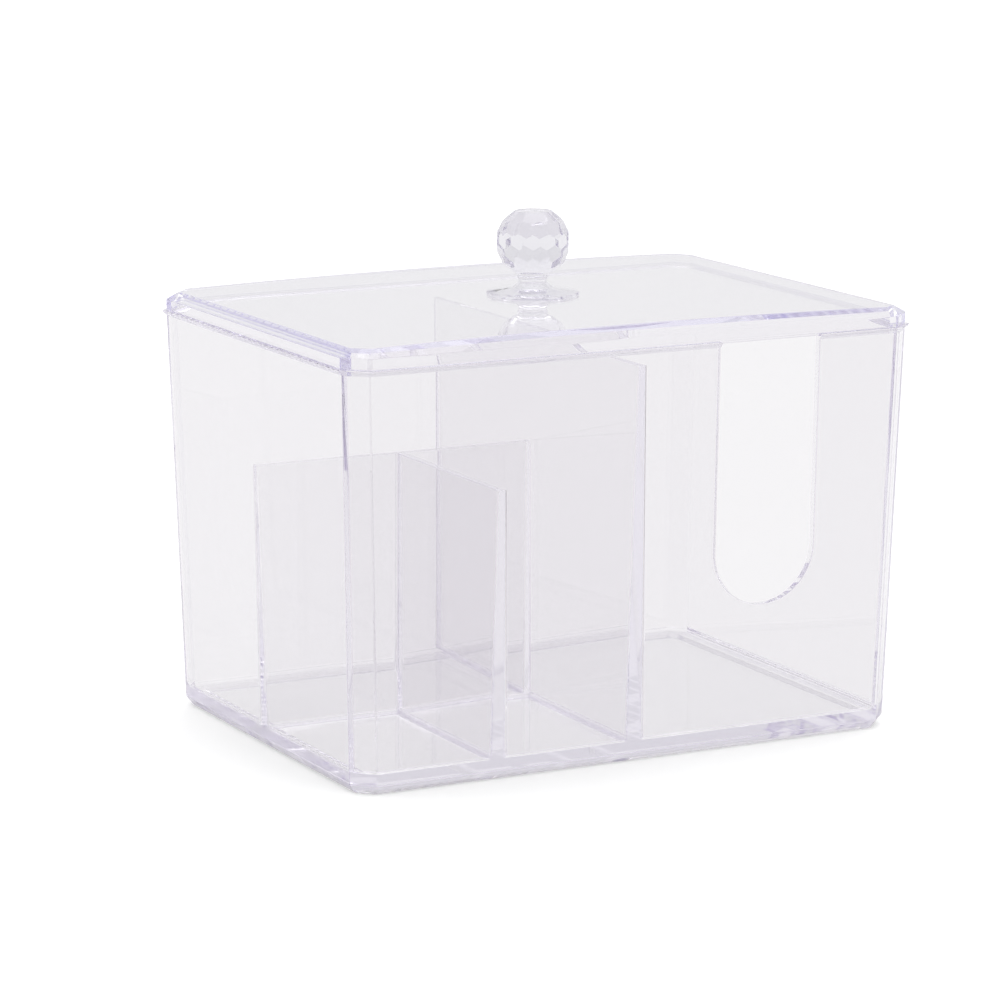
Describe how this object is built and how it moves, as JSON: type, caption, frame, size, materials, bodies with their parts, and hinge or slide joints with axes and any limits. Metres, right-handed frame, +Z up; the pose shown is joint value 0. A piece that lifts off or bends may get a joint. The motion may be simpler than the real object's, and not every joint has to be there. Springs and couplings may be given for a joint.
{
  "type": "compartment box with lift-off lid",
  "caption": "Clear moulded vanity box with partitioned bays, a U-shaped finger cut-out in the front, a bevelled lift-off lid and a faceted ball knob.",
  "frame": {"origin": "middle of the base, on the surface that the box stands on", "axes": "+X along the front wall to the right, +Y from the front wall to the rear wall, +Z up"},
  "size_m": [0.158, 0.1154, 0.1302],
  "materials": {
    "clear_moulding": "clear, polished, faintly violet at the edges",
    "clear_knob": "clear, polished facets"
  },
  "bodies": {
    "box": {"tub": "clear_moulding"},
    "cover": {"lid": "clear_moulding", "knob": "clear_knob"}
  },
  "joints": [
    {"name": "lid_lift", "type": "slide", "parent": "box", "child": "cover", "axis": [0, 0, 1], "range_m": [0, 0.08]}
  ]
}
